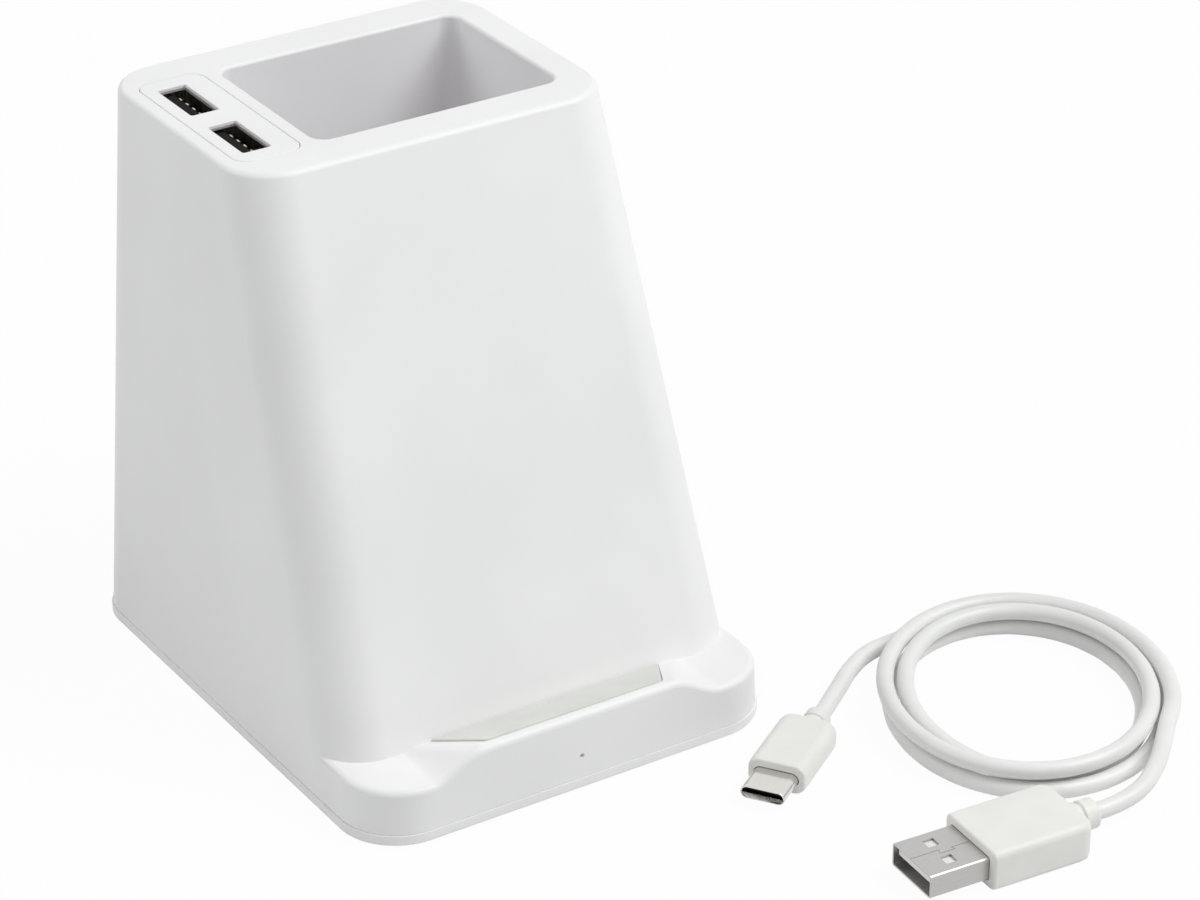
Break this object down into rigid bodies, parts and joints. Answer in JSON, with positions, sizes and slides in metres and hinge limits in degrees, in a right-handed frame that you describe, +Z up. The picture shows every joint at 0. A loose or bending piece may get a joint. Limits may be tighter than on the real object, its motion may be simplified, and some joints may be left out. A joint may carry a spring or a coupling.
{
  "type": "charging pen holder",
  "caption": "Tapered desk pen holder with a pen well, inset charging ports, a leaning telephone rest with a rubber ledge strip, and a separate coiled charging cable.",
  "frame": {"origin": "on the table, under the middle of the holder's base", "axes": "+Z up, -Y towards the foot and its ledge, +X to the right as seen from the ledge, where the cable lies"},
  "size_m": [0.153, 0.1731, 0.109],
  "materials": {
    "white_plastic": "fine satin moulded ABS",
    "cable_plastic": "smooth warm white TPE",
    "pale_rubber": "matt cream-grey silicone",
    "grey_rubber": "matt grey",
    "nickel_plate": "bright nickel plate",
    "black_plastic": "matt black",
    "gold_contact": "gold plate",
    "zinc_steel": "zinc plate",
    "bare_aluminium": "plain drawn can",
    "board_laminate": "green solder mask",
    "ferrite": "dark sintered ferrite",
    "copper_wire": "enamelled copper",
    "light_body": "clear epoxy",
    "clear_acrylic": "clear"
  },
  "bodies": {
    "holder": {"housing": "white_plastic", "usb_panel": "white_plastic", "base_cover": "white_plastic", "ledge_pad": "pale_rubber", "rubber_foot_1": "grey_rubber", "rubber_foot_2": "grey_rubber", "rubber_foot_3": "grey_rubber", "rubber_foot_4": "grey_rubber", "base_screw_1": "zinc_steel", "base_screw_2": "zinc_steel", "base_screw_3": "zinc_steel", "base_screw_4": "zinc_steel", "main_board": "board_laminate", "board_screw_1": "zinc_steel", "board_screw_2": "zinc_steel", "board_screw_3": "zinc_steel", "board_screw_4": "zinc_steel", "control_chip": "black_plastic", "power_inductor": "ferrite", "capacitor": "bare_aluminium", "usb_c_inlet_shell": "nickel_plate", "usb_c_inlet_tongue": "black_plastic", "usb_board": "board_laminate", "usb_board_screw_1": "zinc_steel", "usb_board_screw_2": "zinc_steel", "usb_a_socket_1_shell": "nickel_plate", "usb_a_socket_1_tongue": "black_plastic", "usb_a_socket_1_contact_1": "gold_contact", "usb_a_socket_1_contact_2": "gold_contact", "usb_a_socket_1_contact_3": "gold_contact", "usb_a_socket_1_contact_4": "gold_contact", "usb_a_socket_2_shell": "nickel_plate", "usb_a_socket_2_tongue": "black_plastic", "usb_a_socket_2_contact_1": "gold_contact", "usb_a_socket_2_contact_2": "gold_contact", "usb_a_socket_2_contact_3": "gold_contact", "usb_a_socket_2_contact_4": "gold_contact", "usb_ribbon": "cable_plastic", "indicator_board": "board_laminate", "indicator_light": "light_body", "light_pipe": "clear_acrylic", "charging_coil": "copper_wire", "ferrite_sheet": "ferrite", "coil_carrier": "white_plastic", "coil_screw_1": "zinc_steel", "coil_screw_2": "zinc_steel", "coil_screw_3": "zinc_steel", "coil_screw_4": "zinc_steel", "coil_lead": "black_plastic"},
    "cable": {"cable_coil": "cable_plastic", "cable_lead_c": "cable_plastic", "cable_lead_a": "cable_plastic", "usb_c_plug_grip": "cable_plastic", "usb_c_plug_shell": "nickel_plate", "usb_c_plug_core": "black_plastic", "usb_a_plug_grip": "cable_plastic", "usb_a_plug_shell": "nickel_plate", "usb_a_plug_insert": "cable_plastic"}
  },
  "joints": [
    {"name": "cable_lift", "type": "slide", "parent": "holder", "child": "cable", "axis": [0, 0, 1], "range_m": [0, 0.15]}
  ]
}
